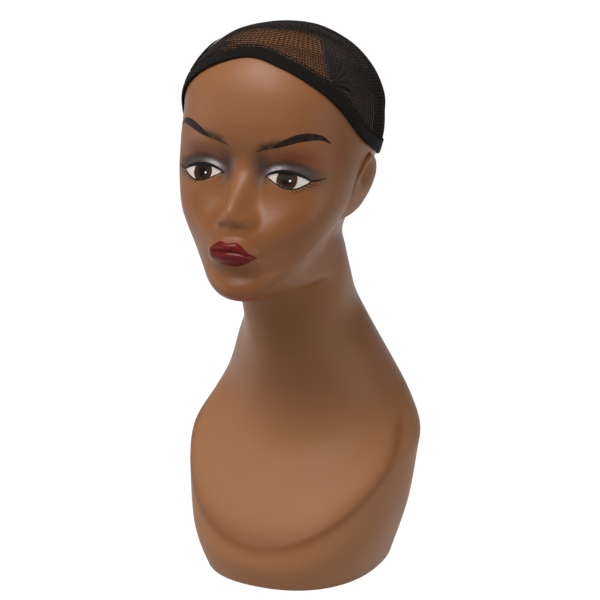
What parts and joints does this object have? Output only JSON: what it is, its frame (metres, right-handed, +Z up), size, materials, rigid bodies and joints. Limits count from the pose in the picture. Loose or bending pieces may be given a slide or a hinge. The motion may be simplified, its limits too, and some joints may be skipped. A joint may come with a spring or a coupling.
{
  "type": "wig display head",
  "caption": "Free-standing hollow vinyl head and bust with a painted face, on a felted base board, wearing a lift-off mesh wig cap with an elastic band.",
  "frame": {"origin": "middle of the foot's underside, on the felt that stands on the table", "axes": "+Z up, the face looks along -Y, the figure's left is +X"},
  "size_m": [0.1912, 0.2276, 0.4462],
  "materials": {
    "vinyl_skin": "satin brown vinyl with airbrushed make-up",
    "board": "bare fibreboard",
    "screw_steel": "zinc plated",
    "felt": "pressed black felt",
    "net": "fine black knitted mesh",
    "elastic": "black knitted elastic",
    "thread": "black overlock thread"
  },
  "bodies": {
    "bust": {"vinyl_shell": "vinyl_skin", "base_board": "board", "board_screws": "screw_steel", "base_felt": "felt"},
    "cap": {"cap_net": "net", "cap_band": "elastic", "cap_stitching": "thread", "cap_gathers": "net"}
  },
  "joints": [
    {"name": "cap_lift", "type": "slide", "parent": "bust", "child": "cap", "axis": [0, 0.5299, 0.848], "range_m": [0, 0.18]}
  ]
}
